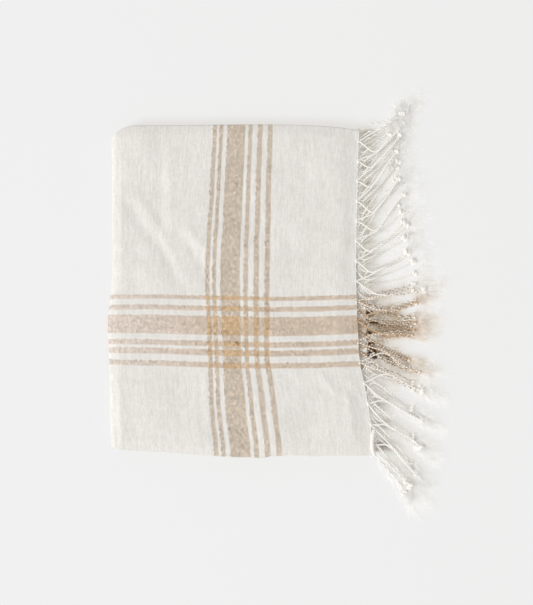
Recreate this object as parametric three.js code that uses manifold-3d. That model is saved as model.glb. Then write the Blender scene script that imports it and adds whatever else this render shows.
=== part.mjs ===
// A hand-woven cotton hand towel, folded in half across its width and then in half twice along its
// length, lying flat. Both cut ends lie together on the right, with the warp ends twisted into a fringe.
// Units are millimetres and +Z is up. The origin lies under the middle of the folded panel, on the
// surface that carries it. +X points to the fringed side and +Y to the long fold.

import * as THREE from 'three';
import { mergeVertices } from 'three/addons/utils/BufferGeometryUtils.js';
import Module from 'manifold-3d';

const wasm = await Module();
wasm.setup();

// Driving sizes of the cloth, and how loosely its layers lie on each other.
const CLOTH = { width: 508, thickness: 1.0, gap: 0.35 };

// The folded panel before the layers slip. The middle fold is tucked back from the fringed ends.
const PANEL = { left: -95.5, right: 94.7, bottom: -126.5, tuck: 7.5, innerEase: 0.6 };

// Grid cells along each straight run, along each turn, and across the two halves of the width, and how
// much closer together they stand at the ends of what shows.
const CELLS = { topRun: 20, lowRun: 5, wideTurn: 5, turn: 4, frontHalf: 26, backHalf: 8, crowding: 0.38 };

// The hem line that holds the fringe, and the twisted cords that leave it.
const HEM = { gap: 0.3, width: 2.0 };
const CORD = { width: 1.2, height: 1.05, latticeReach: 9, fallReach: 17 };
const ROOTS = { perHalf: 16, halfGap: 0.8 };
const CORD_PAIR = { startHalfGap: 0.85, endHalfGap: 1.1 };

// Where the sections of a cord stand along its laid length, and how wide it is there.
const CORD_STATIONS = [
  { at: 0.0, widen: 1.0 },
  { at: 0.16, widen: 1.0 },
  { at: 0.34, widen: 1.0 },
  { at: 0.54, widen: 1.0 },
  { at: 0.76, widen: 1.35 },
  { at: 1.0, widen: 1.2 },
];

// How far the cloth has slipped sideways at each height of the panel, from its left fold to its right
// edge. borderLeft and borderRight are the two sides of the striped border that runs across it.
const SIDE_SLIP = [
  { y: 126, left: -0.3, borderLeft: 3.9, borderRight: 1.4, right: 0.5 },
  { y: 70, left: 0.1, borderLeft: 0.8, borderRight: -0.1, right: -0.8 },
  { y: 5, left: -0.2, borderLeft: -2.3, borderRight: -1.1, right: -1.6 },
  { y: -26, left: -2.9, borderLeft: -0.8, borderRight: -1.2, right: -0.6 },
  { y: -57, left: -1.9, borderLeft: 0.0, borderRight: -0.3, right: 1.5 },
  { y: -76, left: -1.6, borderLeft: 0.8, borderRight: 2.9, right: 5.5 },
  { y: -96, left: -1.4, borderLeft: 1.5, borderRight: 5.3, right: 8.9 },
  { y: -115, left: -0.6, borderLeft: 3.9, borderRight: 7.8, right: 10.3 },
  { y: -127, left: -0.3, borderLeft: 4.6, borderRight: 8.5, right: 10.3 },
];
const BORDER_X = { left: -20.8, right: 27.7 };

// How far the cloth has slipped up the panel: at the long fold, at the warp stripes, at the selvedges.
const UP_SLIP = [
  { x: -92, fold: 0.0, stripes: 0.8, selvedge: 5.2 },
  { x: -58, fold: 0.2, stripes: 0.6, selvedge: 2.8 },
  { x: -23, fold: 0.5, stripes: -0.4, selvedge: 0.4 },
  { x: -4, fold: 0.7, stripes: -0.7, selvedge: -0.8 },
  { x: 27, fold: 0.8, stripes: -1.4, selvedge: 0.3 },
  { x: 50, fold: 0.4, stripes: -1.2, selvedge: 0.3 },
  { x: 81, fold: -1.5, stripes: -0.2, selvedge: 0.3 },
  { x: 95, fold: -3.6, stripes: 0.5, selvedge: 0.3 },
];
const STRIPES_Y = -30;
const CORNER = { radius: 18, drop: 9, reach: 28 };

// How far the second cut end stands out past its own place, fading over the last stretch of its run.
const END_SLIP = [
  { y: 126, out: -2.5 },
  { y: 70, out: -2.5 },
  { y: 39, out: -1.0 },
  { y: 20, out: 2.0 },
  { y: 0, out: 6.0 },
  { y: -25, out: 6.6 },
  { y: -50, out: 6.0 },
  { y: -76, out: 2.3 },
  { y: -96, out: -1.0 },
  { y: -127, out: -3.5 },
];
const END_SLIP_FADE = 60;

// The selvedges of the lower layers creep out from under the top one, level by level.
const SELVEDGE_CREEP = { back: -1.0, perTurn: 0.7 };

// Main creases of the top layer, each a soft ridge (or trough, where the height is negative).
const CREASES = [
  { x: -58, y: 42, heading: -60, halfLength: 33, halfWidth: 7.0, height: 0.9 },
  { x: -61, y: 84, heading: -87, halfLength: 29, halfWidth: 7.0, height: -0.6 },
  { x: -80, y: 33, heading: -90, halfLength: 24, halfWidth: 6.5, height: -0.6 },
  { x: -34, y: 45, heading: -56, halfLength: 18, halfWidth: 6.5, height: 0.6 },
  { x: 57, y: 44, heading: -30, halfLength: 24, halfWidth: 8.0, height: 0.5 },
  { x: 79, y: -74, heading: -39, halfLength: 22, halfWidth: 6.0, height: -0.9 },
  { x: -24, y: -86, heading: -85, halfLength: 26, halfWidth: 6.0, height: 0.7 },
  { x: -85, y: -98, heading: -90, halfLength: 20, halfWidth: 6.5, height: -0.6 },
];
const TOP_LOFT = { height: 1.0, least: 0.15, edgeFade: 16 };

// Headings of the fringe in degrees from +X, where a pair of cords leaves the lattice and at its tip,
// and how far the pair reaches from there, for each height along the cut end.
const FAN = [
  { y: 127, leave: 37, tip: 64, reach: 36 },
  { y: 112, leave: 37, tip: 60, reach: 40 },
  { y: 99, leave: 37, tip: 58, reach: 43 },
  { y: 67, leave: 36, tip: 55, reach: 48 },
  { y: 49, leave: 33, tip: 51, reach: 48 },
  { y: 22, leave: 22, tip: 43, reach: 47 },
  { y: 0, leave: 8, tip: 31, reach: 45 },
  { y: -18, leave: -6, tip: 20, reach: 43 },
  { y: -32, leave: -9, tip: 3, reach: 42 },
  { y: -52, leave: -20, tip: -4, reach: 42 },
  { y: -68, leave: -22, tip: -30, reach: 43 },
  { y: -88, leave: -32, tip: -46, reach: 46 },
  { y: -107, leave: -42, tip: -55, reach: 46 },
  { y: -122, leave: -47, tip: -56, reach: 38 },
];
const PARTINGS = [
  { y: 52, push: 4 },
  { y: -7, push: 5 },
  { y: -38, push: 6 },
  { y: -84, push: 5 },
];
const PARTING_FADE = 12;
const TIP_UNEVENNESS = 5;
const FAN_STEPS = 40;

// Each towel end: where it is along the cloth, how its cords' heading differs, how much further out
// they fall, how high they rest, and the place of the first root of each half in shares of the pitch.
const ENDS = [
  { name: 'fringe_first_end', atStart: true, turn: 2, lag: 4, rest: 2.0, upperPhase: 0.25, lowerPhase: 0.75 },
  { name: 'fringe_second_end', atStart: false, turn: -2, lag: 0, rest: 0.525, upperPhase: 0.04, lowerPhase: 0.5 },
];

const degrees = Math.PI / 180;
const sheetPitch = CLOTH.thickness + CLOTH.gap;
const levelPitch = 2 * sheetPitch;
const foldRadius = sheetPitch / 2;
const halfStraight = (CLOTH.width - Math.PI * foldRadius) / 2;
const doubleHalf = foldRadius + CLOTH.thickness / 2;
const topEdge = PANEL.bottom + halfStraight + doubleHalf;
const rootPitch = halfStraight / ROOTS.perHalf;

const levelHeight = (level) => doubleHalf + level * levelPitch;
const clamp = (value, low, high) => Math.min(high, Math.max(low, value));
const smooth = (t) => {
  const s = clamp(t, 0, 1);
  return s * s * (3 - 2 * s);
};

// Reads a column of a table between its rows, which are in the order of the key's values.
function readTable(rows, key, column, value) {
  const falling = rows[0][key] > rows[rows.length - 1][key];
  const ordered = falling ? [...rows].reverse() : rows;
  const last = ordered.length - 1;
  if (value <= ordered[0][key]) return ordered[0][column];
  if (value >= ordered[last][key]) return ordered[last][column];
  const next = ordered.findIndex((row) => row[key] > value);
  const [low, high] = [ordered[next - 1], ordered[next]];
  const share = smooth((value - low[key]) / (high[key] - low[key]));
  return low[column] + (high[column] - low[column]) * share;
}

// The doubled cloth's route, seen from the selvedges: it runs left on top, round the wide left turn to
// the bottom, right to the tucked fold, left again, and round the tight left turn to the second end.
const wideTurnX = PANEL.left + 1.5 * levelPitch + doubleHalf;
const tuckedTurnX = PANEL.right - PANEL.tuck - levelPitch / 2 - doubleHalf;
const tightTurnX = wideTurnX + PANEL.innerEase;
const ROUTE = layRoute([
  { level: 3, from: PANEL.right, to: wideTurnX, cells: CELLS.topRun, turnCells: CELLS.wideTurn },
  { level: 0, from: wideTurnX, to: tuckedTurnX, cells: CELLS.lowRun, turnCells: CELLS.turn },
  { level: 1, from: tuckedTurnX, to: tightTurnX, cells: CELLS.lowRun, turnCells: CELLS.turn },
  { level: 2, from: tightTurnX, to: PANEL.right, cells: CELLS.lowRun, turnCells: 0 },
]);

// Lists the runs and half-circle turns of the route, each with its start and length along the cloth.
function layRoute(runs) {
  const pieces = [];
  let start = 0;
  let facing = 1;
  runs.forEach((run, i) => {
    const length = Math.abs(run.to - run.from);
    pieces.push({ ...run, kind: 'run', start, length, z: levelHeight(run.level), facing });
    start += length;
    if (!run.turnCells) return;
    const [z1, z2] = [levelHeight(run.level), levelHeight(runs[i + 1].level)];
    const radius = Math.abs(z2 - z1) / 2;
    const side = Math.sign(run.to - run.from);
    const rise = Math.sign(z2 - z1);
    const outward = -facing * rise;
    const turn = { kind: 'turn', x: run.to, z: (z1 + z2) / 2, radius, side, rise, outward };
    pieces.push({ ...turn, start, length: Math.PI * radius, cells: run.turnCells });
    start += Math.PI * radius;
    facing = outward * rise;
  });
  return { pieces, length: start };
}

// The point and outer normal of the doubled cloth's middle, in X and Z, at a distance along the cloth.
function routeAt(u) {
  const { pieces } = ROUTE;
  const piece = pieces.find((p) => u <= p.start + p.length) ?? pieces[pieces.length - 1];
  const along = u - piece.start;
  if (piece.kind === 'run') {
    const x = piece.from + Math.sign(piece.to - piece.from) * along;
    return { x, z: piece.z, nx: 0, nz: piece.facing };
  }
  const angle = along / piece.radius;
  const rx = piece.side * Math.sin(angle);
  const rz = -piece.rise * Math.cos(angle);
  const x = piece.x + piece.radius * rx;
  const z = piece.z + piece.radius * rz;
  return { x, z, nx: piece.outward * rx, nz: piece.outward * rz };
}

// The section of the cloth folded in half across its width: height up the panel, distance from the
// doubled cloth's middle, and the outer normal, at a distance from the front selvedge.
function halfFoldAt(v) {
  const turnLength = Math.PI * foldRadius;
  if (v <= halfStraight) return { y: PANEL.bottom + v, w: foldRadius, ny: 0, nw: 1 };
  const foldY = PANEL.bottom + halfStraight;
  if (v >= halfStraight + turnLength) {
    return { y: foldY - (v - halfStraight - turnLength), w: -foldRadius, ny: 0, nw: -1 };
  }
  const angle = (v - halfStraight) / foldRadius;
  const [ny, nw] = [Math.sin(angle), Math.cos(angle)];
  return { y: foldY + foldRadius * ny, w: foldRadius * nw, ny, nw };
}

// The sideways slip of the panel at a point, read across the table's four columns.
function sideSlip(x, y) {
  const columns = [
    { x: PANEL.left, name: 'left' },
    { x: BORDER_X.left, name: 'borderLeft' },
    { x: BORDER_X.right, name: 'borderRight' },
    { x: PANEL.right, name: 'right' },
  ];
  const marks = columns.map(({ x: at, name }) => ({ at, slip: readTable(SIDE_SLIP, 'y', name, y) }));
  return readTable(marks, 'at', 'slip', x);
}

// The upward slip of the panel at a point, with the upper left corner drawn in and rounded.
function upSlip(x, y) {
  const marks = [
    { at: PANEL.bottom, slip: readTable(UP_SLIP, 'x', 'selvedge', x) },
    { at: STRIPES_Y, slip: readTable(UP_SLIP, 'x', 'stripes', x) },
    { at: topEdge, slip: readTable(UP_SLIP, 'x', 'fold', x) },
  ];
  const inset = clamp(1 - (x - PANEL.left) / CORNER.radius, 0, 1);
  const drawnIn = CORNER.drop * inset * inset * Math.exp((y - topEdge) / CORNER.reach);
  return readTable(marks, 'at', 'slip', y) - drawnIn;
}

// The loft of the top layer over the one below it: air under the cloth, with its creases.
function topLoft(x, y) {
  const edge = Math.min(x - PANEL.left, PANEL.right - x, topEdge - y, y - PANEL.bottom);
  let height = TOP_LOFT.height;
  for (const crease of CREASES) {
    const [c, s] = [Math.cos(crease.heading * degrees), Math.sin(crease.heading * degrees)];
    const [dx, dy] = [x - crease.x, y - crease.y];
    const along = (dx * c + dy * s) / crease.halfLength;
    const across = (dy * c - dx * s) / crease.halfWidth;
    height += crease.height * Math.exp(-(across ** 2) - along ** 4);
  }
  return Math.max(height, TOP_LOFT.least) * smooth(edge / TOP_LOFT.edgeFade);
}

// A point of the cloth: u along it from the first end, v across it from the front selvedge, and n
// through its thickness from its middle, in its settled place on the pile.
function clothPoint(u, v, n) {
  const path = routeAt(u);
  const section = halfFoldAt(v);
  const w = section.w + n * section.nw;
  const flat = { x: path.x + path.nx * w, y: section.y + n * section.ny, z: path.z + path.nz * w };
  const endShare = smooth(1 - (ROUTE.length - u) / END_SLIP_FADE);
  const end = endShare * readTable(END_SLIP, 'y', 'out', flat.y);
  const low = smooth((STRIPES_Y - flat.y) / (STRIPES_Y - PANEL.bottom));
  const turns = u / ROUTE.length;
  const creepShare = section.w < 0 ? SELVEDGE_CREEP.back : 0;
  const creep = low * (creepShare + SELVEDGE_CREEP.perTurn * Math.sin(2 * Math.PI * turns));
  const onTop = u < ROUTE.pieces[0].length ? (1 + section.w / foldRadius) / 2 : 0;
  return new THREE.Vector3(
    flat.x + sideSlip(flat.x, flat.y) + end,
    flat.y + upSlip(flat.x, flat.y) + creep,
    flat.z + onTop * topLoft(flat.x, flat.y),
  );
}

// Divides a span into cells, closer together at its two ends where it is crowded.
function spanLines({ start, length, cells, crowding = 0 }) {
  return Array.from({ length: cells }, (_, i) => {
    const t = (i + 1) / cells;
    return start + length * (t - (crowding * Math.sin(2 * Math.PI * t)) / (2 * Math.PI));
  });
}

// The grid lines along the cloth.
function linesAlong() {
  const { crowding } = CELLS;
  const spans = ROUTE.pieces.map((piece, i) => (i === 0 ? { ...piece, crowding } : piece));
  return [0, ...spans.flatMap(spanLines)];
}

// The grid lines across the cloth, from the front selvedge round the fold to the back one.
function linesAcross() {
  const turnLength = Math.PI * foldRadius;
  const back = halfStraight + turnLength;
  const spans = [
    { start: 0, length: halfStraight, cells: CELLS.frontHalf, crowding: CELLS.crowding },
    { start: halfStraight, length: turnLength, cells: CELLS.turn },
    { start: back, length: halfStraight, cells: CELLS.backHalf },
  ];
  return [0, ...spans.flatMap(spanLines)];
}

// A closed sheet over a grid of the cloth, with both faces and its rim.
function sheetGeometry(us, vs) {
  const positions = [];
  const indices = [];
  for (const n of [CLOTH.thickness / 2, -CLOTH.thickness / 2]) {
    for (const u of us) {
      for (const v of vs) positions.push(...clothPoint(u, v, n).toArray());
    }
  }
  const [rows, columns] = [us.length, vs.length];
  const outer = (i, j) => i * columns + j;
  const inner = (i, j) => rows * columns + outer(i, j);
  const quad = (a, b, c, d) => indices.push(a, b, c, a, c, d);
  for (let i = 0; i < rows - 1; i++) {
    for (let j = 0; j < columns - 1; j++) {
      quad(outer(i, j), outer(i, j + 1), outer(i + 1, j + 1), outer(i + 1, j));
      quad(inner(i, j), inner(i + 1, j), inner(i + 1, j + 1), inner(i, j + 1));
    }
    const far = columns - 1;
    quad(outer(i, 0), outer(i + 1, 0), inner(i + 1, 0), inner(i, 0));
    quad(outer(i + 1, far), outer(i, far), inner(i, far), inner(i + 1, far));
  }
  for (let j = 0; j < columns - 1; j++) {
    const far = rows - 1;
    quad(outer(0, j + 1), outer(0, j), inner(0, j), inner(0, j + 1));
    quad(outer(far, j), outer(far, j + 1), inner(far, j + 1), inner(far, j));
  }
  return indexedGeometry(positions, indices);
}

function indexedGeometry(positions, indices) {
  const geometry = new THREE.BufferGeometry();
  geometry.setAttribute('position', new THREE.Float32BufferAttribute(positions, 3));
  geometry.setIndex(indices);
  return geometry;
}

function toSolid(geometry) {
  const merged = mergeVertices(geometry, 1e-4);
  const vertProperties = merged.getAttribute('position').array;
  const triVerts = new Uint32Array(merged.index.array);
  return new wasm.Manifold(new wasm.Mesh({ numProp: 3, vertProperties, triVerts }));
}

function toGeometry(solid) {
  const { vertProperties, triVerts } = solid.getMesh();
  return indexedGeometry(Array.from(vertProperties), Array.from(triVerts));
}

// The furthest that either hem line stands out at a height of the panel: the cords fall beyond it.
function hemReach(y) {
  const hem = HEM.gap + HEM.width;
  const first = PANEL.right + hem + readTable(SIDE_SLIP, 'y', 'right', y);
  return first + Math.max(0, readTable(END_SLIP, 'y', 'out', y));
}

// A repeatable number from 0 to 1 for a whole number.
function unevenness(index) {
  const value = Math.sin(index * 12.9898 + 4.1) * 43758.5453;
  return value - Math.floor(value);
}

// The fan's column at a height, with the partings pushing the cords aside.
function fanHeading(column, y, turn) {
  let heading = readTable(FAN, 'y', column, y) + turn;
  for (const parting of PARTINGS) {
    const away = y - parting.y;
    heading += Math.sign(away) * parting.push * Math.exp(-Math.abs(away) / PARTING_FADE);
  }
  return heading * degrees;
}

// The height of a cord's middle: level out of the hem, then falling to where it rests.
function cordHeight(x, y, rootHeight, end) {
  const beyond = x - hemReach(y) - CORD.latticeReach - end.lag;
  return rootHeight + (end.rest - rootHeight) * smooth(beyond / CORD.fallReach);
}

// The line down the middle of a laid pair of cords, as points with headings.
function pairLine(startY, end, reach) {
  const leave = fanHeading('leave', startY, end.turn);
  const tip = fanHeading('tip', startY, end.turn);
  const line = [{ x: hemReach(startY) + CORD.latticeReach, y: startY, heading: leave }];
  for (let i = 1; i <= FAN_STEPS; i++) {
    const { x, y } = line[i - 1];
    const heading = leave + (tip - leave) * smooth((i - 0.5) / FAN_STEPS);
    const step = reach / FAN_STEPS;
    line.push({ x: x + step * Math.cos(heading), y: y + step * Math.sin(heading), heading });
  }
  return line;
}

// One cord: from its root in the hem to its place beside its partner, and along the pair's line.
function cordStations(root, pairY, side, end, pairIndex) {
  const uneven = TIP_UNEVENNESS * (unevenness(pairIndex) - 0.5);
  const reach = readTable(FAN, 'y', 'reach', pairY) + uneven;
  const line = pairLine(pairY, end, reach);
  const stations = [{ x: root.x, y: root.y - side * ROOTS.halfGap, z: root.z, heading: 0, widen: 1 }];
  for (const { at, widen } of CORD_STATIONS) {
    const { x, y, heading } = line[Math.round(at * FAN_STEPS)];
    const spread = CORD_PAIR.endHalfGap - CORD_PAIR.startHalfGap;
    const halfGap = side * (CORD_PAIR.startHalfGap + spread * smooth(at));
    const place = { x: x - halfGap * Math.sin(heading), y: y + halfGap * Math.cos(heading) };
    stations.push({ ...place, z: cordHeight(x, y, root.z, end), heading, widen });
  }
  return stations;
}

// A four-sided cord through its stations, upright at each, so that it lies level where it rests.
function cordGeometry(stations) {
  const positions = [];
  const indices = [];
  const half = CORD.height / 2;
  for (const { x, y, z, heading, widen } of stations) {
    const [sx, sy] = [-Math.sin(heading), Math.cos(heading)];
    const reach = (widen * CORD.width) / 2;
    for (const [across, up] of [[1, -1], [1, 1], [-1, 1], [-1, -1]]) {
      positions.push(x + across * reach * sx, y + across * reach * sy, z + up * half);
    }
  }
  const last = stations.length - 1;
  for (let i = 0; i < last; i++) {
    for (let k = 0; k < 4; k++) {
      const [a, b] = [4 * i + k, 4 * i + ((k + 1) % 4)];
      indices.push(a, b, b + 4, a, b + 4, a + 4);
    }
  }
  indices.push(0, 2, 1, 0, 3, 2);
  indices.push(4 * last, 4 * last + 1, 4 * last + 2, 4 * last, 4 * last + 2, 4 * last + 3);
  return indexedGeometry(positions, indices);
}

// The heights of a row's cord roots up the panel.
function rootHeights(phase) {
  return Array.from({ length: ROOTS.perHalf }, (_, k) => PANEL.bottom + (k + phase) * rootPitch);
}

// The two rows of cords of a towel end, one on each half of its hem line: every root sends one cord
// down and one up, each to lie beside the cord that comes from the next root.
function fringeCords(end) {
  const rows = [
    { front: end.atStart, phase: end.upperPhase },
    { front: !end.atStart, phase: end.lowerPhase },
  ];
  const cords = [];
  for (const { front, phase } of rows) {
    rootHeights(phase).forEach((height, k) => {
      const v = height - PANEL.bottom;
      const root = clothPoint(hemLine(end).rootU, front ? v : CLOTH.width - v, 0);
      for (const side of [1, -1]) {
        const pairHeight = height - (side * rootPitch) / 2;
        const pairY = pairHeight + upSlip(root.x, pairHeight);
        const pairIndex = side > 0 ? k : k + 1;
        cords.push(cordGeometry(cordStations(root, pairY, side, end, pairIndex)));
      }
    });
  }
  return cords;
}

// Where a towel end's hem line starts and ends along the cloth, and where the cords are rooted in it.
function hemLine(end) {
  const outward = end.atStart ? -1 : 1;
  const edge = end.atStart ? 0 : ROUTE.length;
  const near = edge + outward * HEM.gap;
  const far = near + outward * HEM.width;
  return { us: [Math.min(near, far), Math.max(near, far)], rootU: (near + 2 * far) / 3 };
}

// One towel end's fringe: the hem line, folded in half like the cloth, with its cords rooted in it.
function fringeSolid(end) {
  let solid = toSolid(sheetGeometry(hemLine(end).us, linesAcross()));
  for (const cord of fringeCords(end)) solid = solid.add(toSolid(cord));
  return solid;
}

function clothMesh() {
  const geometry = sheetGeometry(linesAlong(), linesAcross());
  const material = new THREE.MeshStandardMaterial({ color: 0xe9e5dc, roughness: 0.95, metalness: 0 });
  const mesh = new THREE.Mesh(geometry, material);
  mesh.name = 'towel_cloth';
  return mesh;
}

function fringeMesh(end) {
  const geometry = toGeometry(fringeSolid(end));
  const material = new THREE.MeshStandardMaterial({ color: 0xece8df, roughness: 0.95, metalness: 0 });
  const mesh = new THREE.Mesh(geometry, material);
  mesh.name = end.name;
  return mesh;
}

const towel = new THREE.Group();
towel.name = 'folded_hand_towel';
towel.add(clothMesh());
for (const end of ENDS) towel.add(fringeMesh(end));

export default towel;
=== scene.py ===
# A hand-woven cotton hand towel, folded in half across its width and then in half twice along its
# length, lying flat with both fringed ends on the right. Tables are in millimetres, in the frame of the
# CAD model: the origin lies under the middle of the folded panel, +X points to the fringe, +Y to the
# long fold and +Z up.

import math
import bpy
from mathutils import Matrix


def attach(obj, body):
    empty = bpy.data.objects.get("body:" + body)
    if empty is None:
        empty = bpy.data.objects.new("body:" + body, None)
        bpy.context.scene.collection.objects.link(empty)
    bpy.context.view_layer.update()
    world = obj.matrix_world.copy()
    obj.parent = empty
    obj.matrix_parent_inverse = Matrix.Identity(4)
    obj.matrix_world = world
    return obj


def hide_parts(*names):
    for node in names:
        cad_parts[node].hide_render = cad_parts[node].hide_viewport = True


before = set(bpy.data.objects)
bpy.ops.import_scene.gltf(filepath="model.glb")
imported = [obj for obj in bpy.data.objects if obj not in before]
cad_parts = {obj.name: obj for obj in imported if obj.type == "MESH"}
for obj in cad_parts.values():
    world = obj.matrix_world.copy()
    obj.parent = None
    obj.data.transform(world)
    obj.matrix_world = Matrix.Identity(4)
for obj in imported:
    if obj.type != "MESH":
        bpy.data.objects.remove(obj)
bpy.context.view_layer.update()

from types import SimpleNamespace

import bpy
import numpy as np
from mathutils import Vector

MM = 0.001


# The sizes that the CAD model is built to.
CLOTH = {"width": 508.0, "thickness": 1.0, "gap": 0.35}
PANEL = {"left": -95.5, "right": 94.7, "bottom": -126.5, "tuck": 7.5, "inner_ease": 0.6}
BORDER = {"left": -20.8, "right": 27.7}
STRIPES_Y = -30.0
CORNER = {"radius": 18.0, "drop": 9.0, "reach": 28.0}
END_SLIP_FADE = 60.0
ROOT_STRIP = {"gap": 0.3, "width": 2.0}
ROOTS_PER_HALF = 16
LATTICE_REACH = 12.0
LATTICE_UNEVENNESS = {"out": 6.0, "up": 4.0}
HEADING_UNEVENNESS = 9.0
FALL_REACH = 17.0


def table(columns, *rows):
    """A table with named columns, each an array down its rows."""
    return dict(zip(columns.split(), np.array(rows, dtype=float).T))


# How far the folded cloth lies from its flat layout: to the side, up, and outwards at the second end.
SIDE_SLIP = table(
    "y left border_left border_right right",
    (-127, -0.3, 4.6, 8.5, 10.3),
    (-115, -0.6, 3.9, 7.8, 10.3),
    (-96, -1.4, 1.5, 5.3, 8.9),
    (-76, -1.6, 0.8, 2.9, 5.5),
    (-57, -1.9, 0.0, -0.3, 1.5),
    (-26, -2.9, -0.8, -1.2, -0.6),
    (5, -0.2, -2.3, -1.1, -1.6),
    (70, 0.1, 0.8, -0.1, -0.8),
    (126, -0.3, 3.9, 1.4, 0.5),
)
UP_SLIP = table(
    "x selvedge stripes fold",
    (-92, 5.2, 0.8, 0.0),
    (-58, 2.8, 0.6, 0.2),
    (-23, 0.4, -0.4, 0.5),
    (-4, -0.8, -0.7, 0.7),
    (27, 0.3, -1.4, 0.8),
    (50, 0.3, -1.2, 0.4),
    (81, 0.3, -0.2, -1.5),
    (95, 0.3, 0.5, -3.6),
)
END_SLIP = table(
    "y out",
    (-127, -3.5),
    (-96, -1.0),
    (-76, 2.3),
    (-50, 6.0),
    (-25, 6.6),
    (0, 6.0),
    (20, 2.0),
    (39, -1.0),
    (70, -2.5),
    (126, -2.5),
)

# The fan of the fringe at each height: how far up a pair starts, its headings where it leaves and at its
# tip, how far it reaches, and how far its tuft turns.
FAN = table(
    "y shear leave tip reach tuft",
    (-126, -8, -50, -50, 40, -5),
    (-112, -9, -43, -52, 46, 0),
    (-102, -9, -42, -54, 48, 10),
    (-94, -8, -30, -42, 50, 15),
    (-85, -6, -34, -32, 48, 15),
    (-74, -4, -26, -40, 46, 10),
    (-62, -2, -20, -26, 44, 5),
    (-52, -1, -36, -8, 42, 0),
    (-45, -1, -38, -5, 40, 0),
    (-39.5, -1, -36, -4, 39, 0),
    (-35.5, 0, -4, 0, 38, 0),
    (-30, 0, -6, 1, 40, 0),
    (-22, 0, 0, 20, 42, 0),
    (-14, 0, -4, 26, 42, 0),
    (-10, -1, -24, 24, 42, 0),
    (-8, 1, 22, 12, 43, 0),
    (-4.5, -2, 10, 14, 44, 0),
    (8, 0, 18, 34, 46, -5),
    (22, 1, 28, 46, 47, -10),
    (35, 2, 38, 52, 49, -15),
    (49, 2, 48, 60, 50, -20),
    (67, 1, 46, 64, 50, -15),
    (83, 2, 46, 64, 48, 0),
    (99, 3, 36, 60, 46, 20),
    (112, 1, 34, 56, 42, 30),
    (127, 0, 8, 42, 38, 45),
)

# Creases of the top layer: soft ridges, or troughs where the height is negative, from end to end.
CREASES = table(
    "x1 y1 x2 y2 half_width height",
    (-84, 70, -71, 49, 4.5, -0.50),
    (-71, 49, -52, 25, 4.5, -0.60),
    (-52, 25, -44, 6, 4.5, -0.50),
    (-73, 70, -55, 43, 3.5, 0.40),
    (-55, 43, -42, 15, 3.5, 0.40),
    (-57, 115, -57, 48, 5.0, -0.55),
    (-50, 104, -49.5, 42, 2.8, 0.40),
    (-42, 42, -34, 33, 3.8, -0.45),
    (-34, 33, -26, 20, 4.0, -0.60),
    (-26, 20, -21, 3, 4.0, -0.55),
    (-37, 48, -20, 30, 3.0, 0.45),
    (-75, 38, -75, 0, 4.5, -0.35),
    (-42, 68, -29, 58, 5.0, -0.35),
    (-89, -77, -88, -124, 4.0, 0.50),
    (-93, -71.5, -79, -71.5, 2.2, 0.30),
    (-53, -68.5, -44, -71.5, 1.4, 0.22),
    (-23.5, -63, -19.3, -123, 1.8, 0.35),
    (-28, -63, -24.5, -108, 1.8, -0.30),
    (-77, -92.5, -45, -93, 1.8, -0.15),
    (67, -65, 76, -77, 2.8, 0.50),
    (88.5, -81, 89, -106, 3.2, 0.40),
    (86, -74, 97, -85, 3.6, -0.60),
    (97, -85, 98.5, -110, 3.8, -0.60),
    (84, 60, 84, 36, 3.5, 0.35),
    (88, 26, 88, 8, 3.2, -0.45),
    (35, 20, 77, 18.5, 2.6, 0.25),
    (42, 30, 85, 30, 4.5, -0.35),
    (40, 46, 73, 45, 4.0, 0.32),
    (76, 68, 86, 64, 2.5, 0.30),
    (53, 97, 55, 88, 4.0, -0.25),
    (68, 90, 70, 82, 3.5, -0.25),
    (76, 96, 75, 84, 1.6, 0.22),
)
CREASE = {"strength": 1.1, "steepness": 1.8}
TOP_LOFT = {"height": 1.05, "least": 0.1, "left": 9.0, "right": 15.0, "top": 8.0, "bottom": 9.0}

# The tan bands of the weave: where each one starts and stops, from the cut end and from the selvedge.
WEFT_BANDS = ((67.0, 70.9), (75.1, 79.1), (83.4, 86.6), (89.3, 103.9), (107.2, 110.1), (112.1, 115.4))
WARP_BANDS = ((68.1, 72.2), (77.4, 82.0), (84.4, 88.5), (93.2, 107.7), (111.8, 115.6), (120.3, 123.5))

# The two towel ends: how much later the cords start to fall, and the upper and lower row of the fringe.
# A row has the half of the folded cloth that it hangs from, the place of its first root in root pitches,
# the reach of its open lattice, the height at which it rests, its turn in degrees, the thickness of its
# plies, and how much browner its tan is drawn: painted shade, strongest on the lowest rows.
ENDS = {
    "first": {
        "at_start": True,
        "lag": 4.0,
        "rows": (
            dict(front=True, phase=0.51, lattice=12.0, rest=3.8, turn=2, thick=1.0, depth=0.0),
            dict(front=False, phase=0.03, lattice=3.0, rest=2.9, turn=-3, thick=0.8, depth=0.5),
        ),
    },
    "second": {
        "at_start": False,
        "lag": 0.0,
        "rows": (
            dict(front=False, phase=0.42, lattice=4.0, rest=2.0, turn=4, thick=0.85, depth=0.7),
            dict(front=True, phase=0.86, lattice=3.0, rest=1.1, turn=-4, thick=0.8, depth=1.0),
        ),
    },
}
END_SHIFT = -3.0

# Where hardly any loose fibres lie between the cords, so that the floor shows.
OPENINGS = table(
    "x y half_x half_y",
    (120, -9, 17, 5),
    (127, -41, 17, 6),
    (113, 79, 5, 6),
    (122, 62, 6, 4),
    (140, -71, 12, 5),
)

# The deep gaps between the tan cords beside the edge, where loose fibres lie low and are drawn deep brown:
# painted shade.
DEEP_GAPS = table(
    "x y half_x half_y heading",
    (103.5, -18, 2.5, 2.2, 10),
    (108, -24, 6, 1.4, 0),
    (105, -32, 4, 1.2, 0),
    (104, -41, 2.8, 3, -45),
    (106.5, -48, 5, 2.8, -30),
    (118, -51.5, 4, 1.8, -15),
)

# A thick loose yarn at the lower corner of the first end.
CORNER_YARN = table(
    "x y z",
    (107.2, -107.5, 10.0),
    (106.0, -111.5, 11.4),
    (105.5, -116.5, 11.8),
    (105.8, -122.0, 11.4),
    (107.4, -126.5, 9.5),
)

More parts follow.
